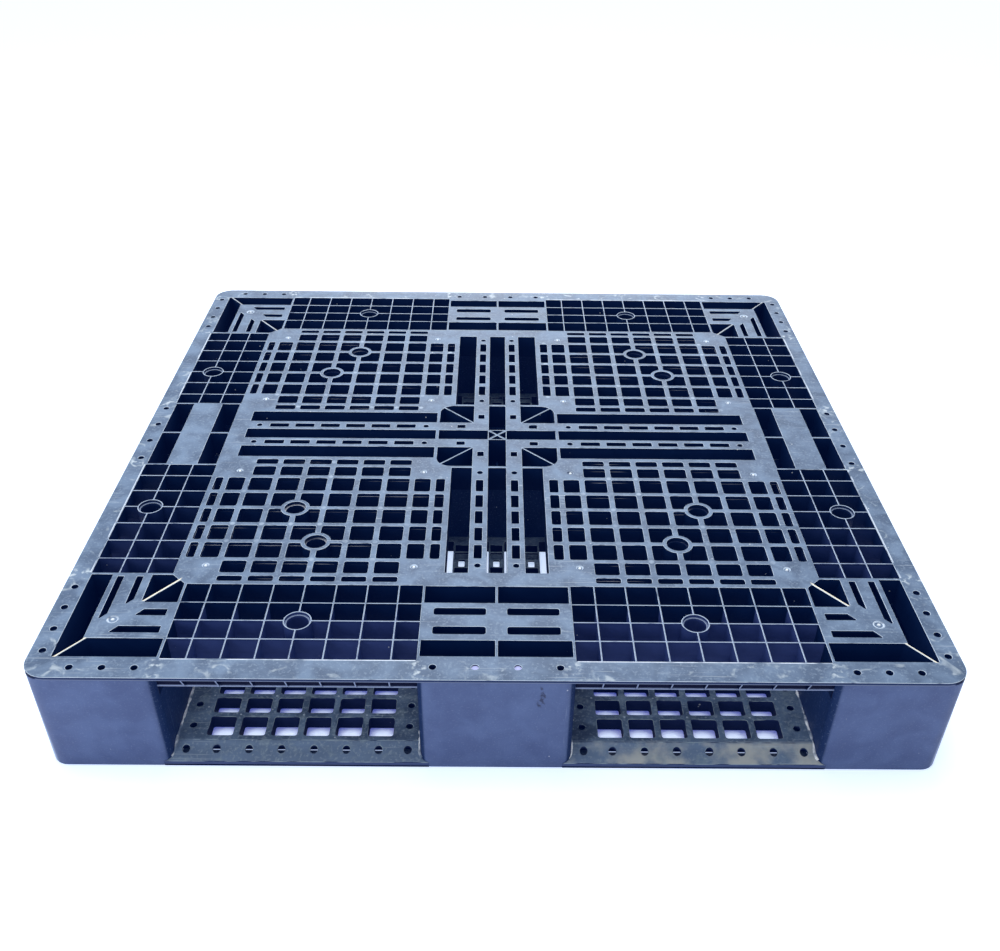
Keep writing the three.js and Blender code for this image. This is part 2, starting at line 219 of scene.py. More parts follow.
def grid_cells(columns, rows, bar_x, bar_y, rings=(), ring_radius=0, corner=1.0, steps=2, skip=()):
    """The spaces of a grid whose lines are given, each bitten by any collar that stands on its corner."""
    cells = []
    for i, (left, right) in enumerate(stretches(columns)):
        for j, (low, high) in enumerate(stretches(rows)):
            if (i, j) in skip:
                continue
            sides = (left + bar_x / 2, low + bar_y / 2, right - bar_x / 2, high - bar_y / 2)
            near = [ring for ring in rings if ring[0] in (left, right) and ring[1] in (low, high)]
            if near:
                cells.append(bitten_box(*sides, near[0], ring_radius, corner, steps))
            else:
                cells.append(box(*sides, corner, steps))
    return cells


def all_round(quarter):
    """A closed outline from its stretch in the first quarter, which runs from the +X side to the +Y side."""
    left = [(-x, y) for x, y in reversed(quarter)]
    return quarter + left + [(-x, -y) for x, y in quarter + left]


def fork_openings():
    """The eight stretches of edge over the fork openings. Each gives its grid lines, the inner edge of the rim
    there, the last border line before it, and the move from a place at the rear right to the stretch."""
    for lines, inner, root, along_x in ((COLUMNS, RIM_Y, BORDER_ROWS[-2], True),
                                        (ROWS, RIM_X, BORDER_COLUMNS[-2], False)):
        for side, sign in QUARTERS:
            def move(x, y, *z):
                return (side * x, sign * y, *z) if along_x else (sign * y, side * x, *z)
            yield lines, inner, root, move


def moved(outline, move):
    return lambda grow=0: [move(x, y) for x, y in outline(grow)]


# ---------------------------------------------------------------- meshes
def finished(name, bm, sharp_degrees=32):
    """Turns a bmesh into an object with smooth curves and crisp edges, riding on the pallet."""
    bmesh.ops.recalc_face_normals(bm, faces=bm.faces)
    for face in bm.faces:
        face.smooth = True
    for edge in bm.edges:
        edge.smooth = len(edge.link_faces) == 2 and edge.calc_face_angle(0) < math.radians(sharp_degrees)
    mesh = bpy.data.meshes.new(name)
    bm.to_mesh(mesh)
    bm.free()
    piece = bpy.data.objects.new(name, mesh)
    bpy.context.collection.objects.link(piece)
    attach(piece, "root")
    return piece


def new_ring(bm, points):
    return [bm.verts.new([c * MM for c in point]) for point in points]


def join_rings(bm, rings):
    """Faces between rings of points, each ring joined to the next."""
    for lower, upper in stretches(rings):
        for index in range(len(lower)):
            follow = (index + 1) % len(lower)
            bm.faces.new((lower[index], lower[follow], upper[follow], upper[index]))


def add_loops(bm, outline, levels, sign):
    """Side walls of one outline. levels are (height, inset) pairs from bottom to top."""
    rings = [new_ring(bm, [(*point, height) for point in outline(sign * inset)]) for height, inset in levels]
    join_rings(bm, rings)
    return rings[0], rings[-1]


def clockwise(loop):
    return sum(a.co.x * b.co.y - b.co.x * a.co.y for a, b in zip(loop, loop[1:] + loop[:1])) < 0


def triangles_between(loops):
    """Triangles, as corner numbers, that fill the area inside the first loop and outside all the others."""
    corners = [vert.co.xy / MM for loop in loops for vert in loop]
    faces, start = [], 0
    for loop in loops:
        face = list(range(start, start + len(loop)))
        faces.append(face[::-1] if clockwise(loop) else face)
        start += len(loop)
    points, _, triangles, sources, _, inside = delaunay_2d_cdt(corners, [], faces, 0, 1e-5, True)
    crossed = [tuple(round(c, 1) for c in point) for point, source in zip(points, sources) if not source]
    if crossed:
        raise ValueError(f"outlines cross at {sorted(set(crossed))[:12]}")
    return [[sources[corner][0] for corner in triangle]
            for triangle, owners in zip(triangles, inside) if list(owners) == [0]]


def add_plate(bm, outer, holes, low, high, edge=EDGE, foot=0.0, rim=0.0):
    """A flat moulding with holes. edge and foot chamfer its top and bottom outlines; rim rounds its outer top
    edge instead of the chamfer."""
    start = [(low, foot), (low + foot, 0)] if foot else [(low, 0)]
    levels = start + ([(high - edge, 0), (high, edge)] if edge else [(high, 0)])
    turns = [math.radians(degrees) for degrees in (0, 30, 60, 90)]
    rounding = [(high - rim + rim * math.sin(a), rim - rim * math.cos(a)) for a in turns]
    ends = [add_loops(bm, outer, start + rounding if rim else levels, -1)]
    ends += [add_loops(bm, hole, levels, 1) for hole in holes]
    triangles = triangles_between([end[1] for end in ends])
    for side in (0, 1):
        corners = [vert for end in ends for vert in end[side]]
        for triangle in triangles:
            bm.faces.new([corners[index] for index in triangle])


def add_turned(bm, x, y, profile, points=20):
    """A solid of revolution; profile is (radius, height) pairs from the bottom centre to the top centre."""
    rings = [new_ring(bm, [(*point, height) for point in circle(x, y, radius, points)()])
             for radius, height in profile[1:-1]]
    join_rings(bm, rings)
    for ring, (_, height) in ((rings[0], profile[0]), (rings[-1], profile[-1])):
        tip = new_ring(bm, [(x, y, height)])[0]
        for index in range(points):
            bm.faces.new((ring[index], ring[(index + 1) % points], tip))


def add_prism(bm, corners, across):
    """A flat web: corners are (x, y, z) points of one face, and across is the step to the other face."""
    faces = [new_ring(bm, corners), new_ring(bm, [Vector(corner) + Vector(across) for corner in corners])]
    join_rings(bm, faces)
    for face in faces:
        bm.faces.new(face)


# ---------------------------------------------------------------- top deck
PLATE_X0, PLATE_X1, PLATE_Y0, PLATE_Y1 = 445, 493, 415, 480     # L-shaped plate over a corner leg
POCKET_X, POCKET_Y = CORNER_X + 2.5, CORNER_Y + 2.5     # the spaces round it begin here
BOSS, BOSS_RADIUS = (469, 447.5), 7
GATE_MARKS = [(108.5, 109), (380, 109), (108.5, 338), (380, 338)]
GATE_RADIUS = 4.5
RIM_HOLES = [(REACH - 14.7, y) for y in (25, 75.4, 384.5, 424.7, 465, 504)]
RIM_HOLES += [(25, 528), (74.6, 528), (419.7, 532.5), (457.3, 532.5), (495, 532.5)]
PLUG = RIM_HOLES[6]                 # holes of the front rim that are filled, on both sides of the middle
CHANNEL_START = LEG_HALF + 3
HUB_EDGE = LEG_HALF - 1.5
STRIP_HALF = 70                     # flat strips that close the rails at their outer ends
PANEL_CUT = 20.5
deck_outline = box(-REACH, -REACH, REACH, REACH, RIM_RADIUS, 10)


def panel_edge_slots():
    """Narrow slots between the outermost bars and the edge of each panel, left out beside the corner pads."""
    half_x, half_y = BAR_X / 2, BAR_Y / 2
    slots = []
    for low, high in stretches(bars(6)):
        for x0, x1 in ((PANEL_INNER, LEG_HALF - half_x), (CORNER_X + half_x, PANEL_OUTER_X)):
            slots.append((x0, low + half_y, x1, high - half_y))
    for low, high in stretches(bars(7)):
        for y0, y1 in ((PANEL_INNER, LEG_HALF - half_y), (CORNER_Y + half_y, PANEL_OUTER_Y)):
            slots.append((low + half_x, y0, high - half_x, y1))
    return [box(*sides, HOLE_CORNER, 3) for sides in slots]


def panel_openings():
    pads = [(i, j) for i in (0, len(COLUMNS) - 2) for j in (0, len(ROWS) - 2)]
    return (grid_cells(COLUMNS, ROWS, BAR_X, BAR_Y, PANEL_RINGS, PANEL_RING_RADIUS, HOLE_CORNER, 3, pads)
            + panel_edge_slots() + [circle(x, y, RING_HOLE, 32) for x, y in PANEL_RINGS])


def border_cells(columns, rows):
    thin_ribs = (WEB, WEB, BORDER_RINGS, BORDER_RING_RADIUS)
    return grid_cells(COLUMNS, rows, *thin_ribs) + grid_cells(columns, ROWS, *thin_ribs)


def collars(radius):
    return [circle(x, y, radius, 32) for x, y in BORDER_RINGS]


def leg_pockets():
    """Open spaces in the deck over the legs, beside the flat plates."""
    far_x, far_y, rib = RIM_X - 2, RIM_Y - 3, 1.4
    one_round = [5, 1, 1, 1]
    return [
        polygon([(PLATE_X1 + rib, POCKET_Y), (far_x, POCKET_Y), (far_x, far_y), (far_x - 3, far_y),
                 (PLATE_X1 + rib, PLATE_Y1 + 3.3)]),
        polygon([(POCKET_X, PLATE_Y1 + rib), (PLATE_X1 - 3, PLATE_Y1 + rib), (far_x - 6, far_y),
                 (POCKET_X, far_y)]),
        polygon([(417, POCKET_Y), (PLATE_X0 - rib, POCKET_Y), (PLATE_X0 - rib, PLATE_Y0 - 2.6), (407.6, 368)],
                one_round),
        polygon([(POCKET_X, 376), (405, 369.5), (PLATE_X0 - 4, PLATE_Y0 - rib), (POCKET_X, PLATE_Y0 - rib)],
                one_round),
        box(1.5, 378, LEG_HALF - 2, 411),
        box(1.5, 481, LEG_HALF - 2, 509.5),
        box(MIDDLE_X + 2, 1.5, 447.5, LEG_HALF - 2),
        box(493.5, 1.5, RIM_X - 2, LEG_HALF - 2),
    ]


def plate_slots():
    """Slots in the plates over the corner legs and the end legs."""
    return [
        polygon([(454, 362), (462.5, 362), (462.5, 419), (454, 408)]),
        polygon([(479, 362), (487.5, 362), (487.5, 447), (479, 436)]),
        polygon([(407, 427), (436, 427), (445, 439), (407, 439)]),
        polygon([(407, 459), (459, 459), (468, 471), (407, 471)]),
        box(13, 421, 78, 434, 3.2, 3),
        box(13, 456, 78, 470, 3.2, 3),
    ]


def plate_hollows():
    """Undersides of the plates over the legs, between their stiffening ribs."""
    half_rib, low = HALF_RIB, POCKET_Y + 0.5
    left, right, inner, outer = BOSS[0] - 1.3, BOSS[0] + 1.3, BOSS[1] - 1.3, BOSS[1] + 1.3
    sides = [
        (PLATE_X0 + half_rib, low, left, inner),
        (right, low, PLATE_X1 - half_rib, inner),
        (POCKET_X + 0.5, PLATE_Y0 + half_rib, PLATE_X0 - half_rib, inner),
        (POCKET_X + 0.5, outer, left, PLATE_Y1 - half_rib),
        (right, outer, PLATE_X1 - half_rib, PLATE_Y1 - half_rib),
        (1.5, 413.5, LEG_HALF - 2, 445.7),
        (1.5, 448.3, LEG_HALF - 2, 479),
        (450, 1.5, 469.7, LEG_HALF - 2),
        (472.3, 1.5, 491, LEG_HALF - 2),
    ]
    return [box(*each) for each in sides]


def channel(end):
    return [box(RAIL_OUTER, CHANNEL_START, CHANNEL_OUTER, end)]


def middle_openings(end):
    """The channel between two rails, its stretch over the centre leg, and a small triangle between two
    diagonal ribs at the very centre."""
    half, rib = RAIL_INNER, 1.3
    return [box(-half, CHANNEL_START, half, end), box(-half, half + 1, half, HUB_EDGE),
            polygon([(-half + 2 * rib, half), (0, 1.9), (half - 2 * rib, half)], 0.3)]


def strip_hollows(end, leg_face):
    """Undersides of the flat strip that closes the rails at one end."""
    low, high = end + WEB, leg_face - WEB
    return [box(-STRIP_HALF, low, -HALF_RIB, high), box(HALF_RIB, low, STRIP_HALF, high)]


def hub_pocket(grow=0):
    """Half of a corner space over the centre leg: it lies below the diagonal rib and is rounded at its far
    corner."""
    near, far = RAIL_OUTER - grow, HUB_EDGE + grow
    rib = 1.6 - grow * math.sqrt(2)
    radius = HUB_RADIUS + grow
    turn = math.acos(rib / (radius * math.sqrt(2))) - math.pi / 4
    return [(near + rib, near), (far, near)] + arc(far - radius, far - radius, radius, 0, turn, 6)


def rail_slots(count, half):
    centres = [line + PITCH / 2 for line in bars(count)]
    slots = [(RAIL_CENTRE - half, y - 15, RAIL_CENTRE + half, y + 15) for y in centres]
    return [box(*sides, 1.5) for sides in slots + [(RAIL_CENTRE - 5, 50, RAIL_CENTRE + 5, 63)]]


def rail_hollows(count, end):
    """Undersides of a rail, between its cross webs."""
    inner, outer = RAIL_INNER + WEB, RAIL_OUTER - WEB
    lines = [CHANNEL_START] + bars(count) + [end]
    hollows = [(low + HALF_RIB, high - HALF_RIB) for low, high in stretches(lines)]
    return [box(inner, low, outer, high) for low, high in hollows + [(RAIL_OUTER + HALF_RIB, HUB_EDGE)]]


def rim_holes():
    return [circle(x, y, 4.5, 16) for x, y in RIM_HOLES]


def panel_outline(grow=0):
    """One grid panel's plan, with the corners given up to the centre leg and the corner leg."""
    low, notch = PANEL_INNER - 4 - grow, LEG_HALF + 0.2 - grow
    far_x, far_y = PANEL_OUTER_X + 4.5 + grow, PANEL_OUTER_Y + 4 + grow
    return [(notch, low), (far_x, low), (far_x, far_y - PANEL_CUT), (far_x - PANEL_CUT, far_y), (low, far_y),
            (low, notch), (notch, notch)]


def add_skin(bm):
    """Everything seen from above as flat: rim, bars, pads, plates, rails and the tops of the thin ribs."""
    rail_holes = [(RAIL_CENTRE, 109), (RAIL_CENTRE, 334), (112.5, RAIL_CENTRE), (375.5, RAIL_CENTRE)]
    round_holes = [(place, 4.3, 16) for place in rail_holes]
    round_holes += [(place, GATE_RADIUS, 24) for place in GATE_MARKS] + [(BOSS, BOSS_RADIUS, 24)]
    quarter = (panel_openings() + border_cells(BORDER_COLUMNS, BORDER_ROWS) + collars(COLLAR_HOLE)
               + leg_pockets() + plate_slots() + both_ways(channel(RAIL_END_Y), channel(RAIL_END_X))
               + both_ways([hub_pocket], [hub_pocket]) + both_ways(rail_slots(5, 5.5), rail_slots(6, 5.3))
               + rim_holes() + [circle(*place, *size) for place, *size in round_holes])
    middle = on_all_ends(middle_openings(RAIL_END_Y), middle_openings(RAIL_END_X))
    add_plate(bm, deck_outline, in_every_quarter(quarter) + middle, TOP - SKIN, TOP, rim=1.2)


def add_moulding_marks(bm):
    """Gate marks in the pads and a round boss on each corner plate, each in its own recess, and the plugs."""
    mark, boss = GATE_RADIUS + 0.1, BOSS_RADIUS + 0.1
    mark_profile = [(0, -SKIN), (mark, -SKIN), (mark, -0.5), (mark - 1.1, -1.4), (1.9, -1.4), (1.5, -0.1),
                    (0, 0)]
    boss_profile = [(0, -SKIN), (boss, -SKIN), (boss, -0.3), (boss - 0.9, 0.2), (boss - 2.1, -0.8), (2.6, -0.8),
                    (2, 0.2), (0, 0.4)]
    plug_profile = [(0, -6), (4.8, -6), (4.8, -2), (0, -1.5)]
    marks = [(x, y, mark_profile) for x, y in GATE_MARKS] + [(*BOSS, boss_profile)]
    places = [(side * x, sign * y, profile) for side, sign in QUARTERS for x, y, profile in marks]
    for x, y, profile in places + [(side * PLUG[0], -PLUG[1], plug_profile) for side in (1, -1)]:
        add_turned(bm, x, y, [(radius, TOP + height) for radius, height in profile])


def add_lip(bm):
    """The thick edge of the rim, which overhangs the legs and the walls above the fork openings."""
    inside = box(-RIM_X - 0.6, -RIM_Y - 0.6, RIM_X + 0.6, RIM_Y + 0.6, 3)
    add_plate(bm, deck_outline, [inside] + in_every_quarter(rim_holes()), TOP - LIP, TOP - SKIN, 0, 0.5)


def deep_outline(grow=0):
    """Outer edge of the deepest ribs: out to the legs, back to the last cross rib over each fork opening."""
    far_x, far_y = RIM_X + 2.5 + grow, RIM_Y + 2.5 + grow
    thick = WEB / 2 + grow
    near_x, near_y, leg = BORDER_COLUMNS[-2] + thick, BORDER_ROWS[-2] + thick, LEG_HALF + thick
    collar = arc(*BORDER_RINGS[1], BORDER_RING_RADIUS + grow, math.radians(-80), math.radians(80), 8)
    return all_round([(far_x, leg), (near_x, leg)] + collar + [
        (near_x, CORNER_Y - thick), (far_x, CORNER_Y - thick), (far_x, far_y), (CORNER_X - thick, far_y),
        (CORNER_X - thick, near_y), (leg, near_y), (leg, far_y)])


def add_ribs(bm):
    """The ribs under the skin, outside the grid panels. Their lower half stops short of the fork openings."""
    shared = (leg_pockets() + both_ways(channel(RAIL_END_Y), channel(RAIL_END_X)) + plate_hollows()
              + both_ways(rail_hollows(6, RAIL_END_Y), rail_hollows(7, RAIL_END_X))
              + both_ways([hub_pocket], [hub_pocket])
              + [lambda grow=0: panel_outline(grow - LAP)] + collars(COLLAR_HOLE))
    middle = on_all_ends(middle_openings(RAIL_END_Y) + strip_hollows(RAIL_END_Y, MIDDLE_Y),
                         middle_openings(RAIL_END_X) + strip_hollows(RAIL_END_X, MIDDLE_X))
    edge = box(-RIM_X - 2.5, -RIM_Y - 2.5, RIM_X + 2.5, RIM_Y + 2.5, 6)
    high = in_every_quarter(shared + border_cells(BORDER_COLUMNS, BORDER_ROWS)) + middle
    deep = in_every_quarter(shared + border_cells(BORDER_COLUMNS[:-1], BORDER_ROWS[:-1])) + middle
    add_plate(bm, edge, high, RIB_STEP, TOP - SKIN + LAP, 0)
    add_plate(bm, deep_outline, deep, DECK_BOTTOM, RIB_STEP + 0.2, 0, 0.4)
    rings = zip(in_every_quarter(collars(COLLAR_HOLE + LAP)), in_every_quarter(collars(COLLAR_STEP_HOLE)))
    for outside, inside in rings:
        add_plate(bm, outside, [inside], COLLAR_STEP - 4, COLLAR_STEP, 0.3)


def add_skirts(bm):
    """Over each fork opening: a thin wall under the lip, tied to the rim by webs and propped by gussets."""
    top = TOP - LIP + 0.4
    for lines, inner, root, move in fork_openings():
        first, last, half = lines[0], lines[-1], WEB / 2
        cells = [moved(box(a + half, inner + 3.5, b - half, SIDE_WALL - 3), move)
                 for a, b in stretches(lines)]
        strip = moved(box(first - 1, inner + 1, last + 1, SIDE_WALL), move)
        add_plate(bm, strip, cells, SKIRT_BOTTOM, top, 0, 0.4)
        bead = moved(box(first - 1, SIDE_WALL - 1, last + 1, SIDE_WALL + 0.9, 0.3), move)
        add_plate(bm, bead, [], SKIRT_BOTTOM - 0.6, SKIRT_BOTTOM + 1, 0.2)
        for low, high in ((first - WEB, first), (last, last + WEB)):
            add_plate(bm, moved(box(low, inner, high, SIDE_WALL - 0.4, 0.2), move), [], DECK_BOTTOM, top, 0)
        gusset = [(root, DECK_BOTTOM), (inner - 4, DECK_BOTTOM), (SIDE_WALL + 1.4, SKIRT_BOTTOM),
                  (REACH - 1.5, top - 0.2), (SIDE_WALL - 2, top - 0.2), (SIDE_WALL - 2, RIB_STEP + 0.3),
                  (root, RIB_STEP + 0.3)]
        for line in lines[1:-1]:
            add_prism(bm, [move(line - half, out, height) for out, height in gusset], move(WEB, 0, 0))


def panel_cells(bar, ring_hole):
    columns = [PANEL_INNER - 3.5] + COLUMNS + [PANEL_OUTER_X + 3.5]
    rows = [PANEL_INNER - 3.5] + ROWS + [PANEL_OUTER_Y + 3.5]
    corners = ((0, 0), (len(columns) - 2, len(rows) - 2))
    cells = grid_cells(columns, rows, bar, bar, PANEL_RINGS, PANEL_RING_RADIUS - 0.4, skip=corners)
    return cells + [circle(x, y, ring_hole, 32) for x, y in PANEL_RINGS]


def add_panel_webs(bm):
    """Under the grid bars: first a narrow neck, then wider webs whose ledges show inside each opening."""
    neck, webs = panel_cells(WEB + 1.5, RING_HOLE + 2), panel_cells(BAR_Y - 0.6, RING_HOLE - 1.6)
    for sign in QUARTERS:
        outline = mirrored(panel_outline, *sign)
        neck_here, webs_here = ([mirrored(cell, *sign) for cell in cells] for cells in (neck, webs))
        add_plate(bm, outline, neck_here, PANEL_LEDGE, TOP - SKIN + LAP, 0)
        add_plate(bm, outline, webs_here, PANEL_BOTTOM, PANEL_LEDGE + 0.3, 0.3, 0.4)


def top_deck():
    bm = bmesh.new()
    for add in (add_skin, add_moulding_marks, add_lip, add_ribs, add_skirts, add_panel_webs):
        add(bm)
    return finished("top_deck_moulding", bm)


# ---------------------------------------------------------------- legs
INNER_RADIUS = 5                    # a middle leg's corners that face the centre
LEG_KINDS = {                       # each one's box, the rounding of its corners and where its inner ribs cross
    "corner": ((CORNER_X, CORNER_Y, LEG_REACH, LEG_REACH), None, BOSS),
    "end": ((-LEG_HALF, MIDDLE_Y, LEG_HALF, LEG_REACH),
            [INNER_RADIUS, INNER_RADIUS, LEG_RADIUS, LEG_RADIUS], (0, 447)),
    "side": ((MIDDLE_X, -LEG_HALF, LEG_REACH, LEG_HALF),
             [INNER_RADIUS, LEG_RADIUS, LEG_RADIUS, INNER_RADIUS], (471, 0)),
    "centre": ((-LEG_HALF, -LEG_HALF, LEG_HALF, LEG_HALF), HUB_RADIUS + 3, (0, 0)),
}
LEGS = {
    "leg_front_left": ("corner", -1, -1), "leg_front_centre": ("end", 1, -1),
    "leg_front_right": ("corner", 1, -1), "leg_middle_left": ("side", -1, 1), "leg_centre": ("centre", 1, 1),
    "leg_middle_right": ("side", 1, 1), "leg_rear_left": ("corner", -1, 1), "leg_rear_centre": ("end", 1, 1),
    "leg_rear_right": ("corner", 1, 1),
}


def leg_plan(kind):
    sides, radii, _ = LEG_KINDS[kind]
    if radii:
        return box(*sides, radii, 8)
    corners = [(CORNER_X + LEG_CHAMFER, CORNER_Y), (LEG_REACH, CORNER_Y), (LEG_REACH, LEG_REACH),
               (CORNER_X, LEG_REACH), (CORNER_X, CORNER_Y + LEG_CHAMFER)]
    return polygon(corners, [4, LEG_RADIUS, 22, LEG_RADIUS, 4], 8)


def leg_ribs(kind):
    (x0, y0, x1, y1), _, (x, y) = LEG_KINDS[kind]
    return [box(x - HALF_RIB, y0 + 2, x + HALF_RIB, y1 - 2, 0),
            box(x0 + 2, y - HALF_RIB, x1 - 2, y + HALF_RIB, 0)]


def add_tub(bm, plan):
    """A leg's open-topped box, with a slightly rounded foot."""
    low_top = DECK_BOTTOM - 0.3
    under, rim = add_loops(bm, plan, [(0, 1.4), (0.4, 0.4), (1.4, 0), (low_top, 0)], -1)
    floor, inner_rim = add_loops(bm, lambda grow=0: plan(grow - LEG_WALL), [(LEG_FLOOR, 0), (low_top, 0)], 1)
    bm.faces.new(under)
    bm.faces.new(floor)
    join_rings(bm, [rim, inner_rim])


def outside_deck(plan):
    """The part of a leg's plan that stands outside the deck's ribs, under the lip."""
    def excess(point):
        return max(abs(point[0]), abs(point[1])) - RIM_LIMIT

    def crossing(inside, outside):
        share = excess(inside) / (excess(inside) - excess(outside))
        return tuple(a + (b - a) * share for a, b in zip(inside, outside))

    def on_x_limit(point):
        return abs(abs(point[0]) - RIM_LIMIT) < 1e-6

    def outline(grow=0):
        points = plan(grow)
        first = next(i for i in range(len(points)) if excess(points[i]) > 0 >= excess(points[i - 1]))
        points = points[first:] + points[:first]
        count = next(i for i in range(len(points)) if excess(points[i]) <= 0)
        start, stop = crossing(points[-1], points[0]), crossing(points[count], points[count - 1])
        elbow = []
        if on_x_limit(start) != on_x_limit(stop):
            elbow = [tuple(math.copysign(RIM_LIMIT, c) for c in start)]
        return [start] + points[:count] + [stop] + elbow
    return outline


def leg(node, kind, *sign):
    bm = bmesh.new()
    plan = mirrored(leg_plan(kind), *sign)
    add_tub(bm, plan)
    for rib in leg_ribs(kind):
        add_plate(bm, mirrored(rib, *sign), [], LEG_FLOOR - LAP, DECK_BOTTOM - 1.5, 0)
    if kind != "centre":
        add_plate(bm, outside_deck(plan), [], DECK_BOTTOM - 0.3, LEG_TOP, 0)
    return finished(node + "_shell", bm)


# ---------------------------------------------------------------- bottom deck
CREASE = LEG_REACH - 25             # where the ramps meet the flat of the bottom deck
RAMP_DROP = 12                      # how much a ramp falls between the crease and the lip
RAMP_SLOPE = RAMP_DROP / (LEG_REACH - CREASE)
SKIN_BOTTOM = BASE_TOP - SKIN
GAP = 0.3
FORK_LINES = [413, 446.5, 480, 519.3]
RAMP_GAP = (CREASE - 2.2, CREASE + 1.5)     # slit in the underside of each ramp
WINDOW_VIEW = 15.5                  # how far the pockets stay open below, behind each small window
COARSE_LINES = [124, 204, 284, 364]
CENTRE_BAR = 96                     # half width of the bars under the centre channels
SLITS = [(12, 40), (66, 94)]
LADDER_SIDE = 53                    # the pockets beside the middle row lie here
RUNG_PITCH = 19
FIRST_RUNG = 113.5


def base_outline(grow=0, reach=CREASE):
    """The flat of the bottom deck: a square with the legs' places cut out."""
    far, clear = reach + grow, GAP - grow
    cut = LEG_CHAMFER + clear * (math.sqrt(2) - 2)
    x, y = CORNER_X - clear, CORNER_Y - clear
    return all_round([
        (MIDDLE_X - clear, LEG_HALF + clear), (far, LEG_HALF + clear), (far, y), (x + cut, y), (x, y + cut),
        (x, far), (LEG_HALF + clear, far), (LEG_HALF + clear, MIDDLE_Y - clear)])


def fork_windows(bar, corner):
    """Fine windows along the fork openings."""
    return (grid_cells(bars(7), FORK_LINES, bar, bar, corner=corner, steps=3)
            + grid_cells(FORK_LINES, bars(6), bar, bar, corner=corner, steps=3))


def slits(leg_face):
    return [box(near, LEG_HALF + 12, far, leg_face - 12, 2) for near, far in SLITS]


def rung_count(leg_face):
    return int((leg_face - 14 - FIRST_RUNG) / RUNG_PITCH)


def ladder_row(leg_face, centre, half, windowed):
    """One row of pockets between the rungs of a centre bar."""
    along = RUNG_PITCH / 2 - 1.3
    row = []
    for index in range(rung_count(leg_face)):
        if windowed or index % 4 > 1:
            place = FIRST_RUNG + RUNG_PITCH * (index + 0.5)
            start = place - along - (0 if windowed or index % 4 == 3 else 2 * RUNG_PITCH)
            width = 4.7 if windowed and index % 4 == 2 else half
            row.append(box(centre - width, start, centre + width, place + along))
    return row


def ladder_pockets(windowed):
    """Pockets between the rungs of the centre bars. In the skin, every fourth is only a small window; below the
    skin, each window's pocket is one with the two beside it that lie nearer the middle of the pallet."""
    middle = [ladder_row(leg_face, 0, 9.3, windowed) for leg_face in (MIDDLE_Y, MIDDLE_X)]
    beside = [ladder_row(leg_face, LADDER_SIDE, 10.5, windowed) for leg_face in (MIDDLE_Y, MIDDLE_X)]
    return on_all_ends(*middle) + in_every_quarter(both_ways(*beside))


def ladder_floors(leg_face):
    """Thin floors that close the pockets of the centre bars, open under the small windows."""
    count = rung_count(leg_face)
    ends = [0]
    for index in range(2, count, 4):
        ends += [index - WINDOW_VIEW / RUNG_PITCH, index + 1]
    ends = [FIRST_RUNG + RUNG_PITCH * end for end in ends + [count]]
    return [box(centre - half, start, centre + half, stop, 0.3) for start, stop in zip(ends[::2], ends[1::2])
            for centre, half in ((0, 9.8), (LADDER_SIDE, 11), (-LADDER_SIDE, 11))]


def side_holes():
    """Round holes in the flat of the bottom deck, beside the legs."""
    outward = (427, 462, 498.5)
    places = [(x, y) for x in (108.5, 380) for y in outward] + [(x, y) for x in outward for y in (108.5, 340)]
    return [circle(*place, 4.6, 16) for place in places]


def blind_spaces():
    """Spaces under the round holes beside the legs; thin floors close them below."""
    lines, near = FORK_LINES[:-1] + [CREASE - 4.2], (CENTRE_BAR, 120.8)
    spaces = grid_cells(near, lines, WEB, WEB) + grid_cells((367.2, CORNER_X - 2.2), lines, WEB, WEB)
    return spaces + grid_cells(lines, near, WEB, WEB) + grid_cells(lines, (327.2, CORNER_Y - 2.2), WEB, WEB)


def rib_spaces():
    """Open spaces between the ribs on the underside of the bottom deck."""
    lines, beside = [CENTRE_BAR] + COARSE_LINES, (364.7, 400.8)
    return (grid_cells(lines, lines, WEB, WEB) + grid_cells(bars(7), beside, WEB, WEB)
            + grid_cells(beside, bars(6), WEB, WEB))


def add_base_flat(bm):
    windows = fork_windows(8, 3) + grid_cells(COARSE_LINES, COARSE_LINES, 8, 8, corner=5, steps=3)
    through = in_every_quarter(both_ways(slits(MIDDLE_Y), slits(MIDDLE_X)))
    skin = in_every_quarter(windows + side_holes()) + through + ladder_pockets(True)
    blind = in_every_quarter(blind_spaces())
    ribs = blind + in_every_quarter(rib_spaces() + fork_windows(6.8, 2.5)) + through + ladder_pockets(False)
    add_plate(bm, base_outline, skin, SKIN_BOTTOM, BASE_TOP)
    add_plate(bm, lambda grow=0: base_outline(grow, RAMP_GAP[0]), ribs, 0, SKIN_BOTTOM + 0.2, 0, 0.5)
    for space in blind:
        add_plate(bm, lambda grow=0: space(grow + GAP), [], 0.4, 2.4, 0)
    for floor_part in on_all_ends(ladder_floors(MIDDLE_Y), ladder_floors(MIDDLE_X)):
        add_plate(bm, floor_part, [], 5, 7.5, 0)


def add_base_nubs(bm):
    """Small round nubs where the bars of the fine windows cross."""
    profile = ((0, -1), (1.5, -1), (1.5, 0.1), (0.9, 0.6), (0, 0.7))
    dome = [(radius, BASE_TOP + height) for radius, height in profile]
    for side, sign in QUARTERS:
        for index, line in enumerate(bars(7)):
            add_turned(bm, side * line, sign * FORK_LINES[1 + index % 2], dome, 8)
        for index, line in enumerate(bars(6)):
            add_turned(bm, side * FORK_LINES[1 + index % 2], sign * line, dome, 8)


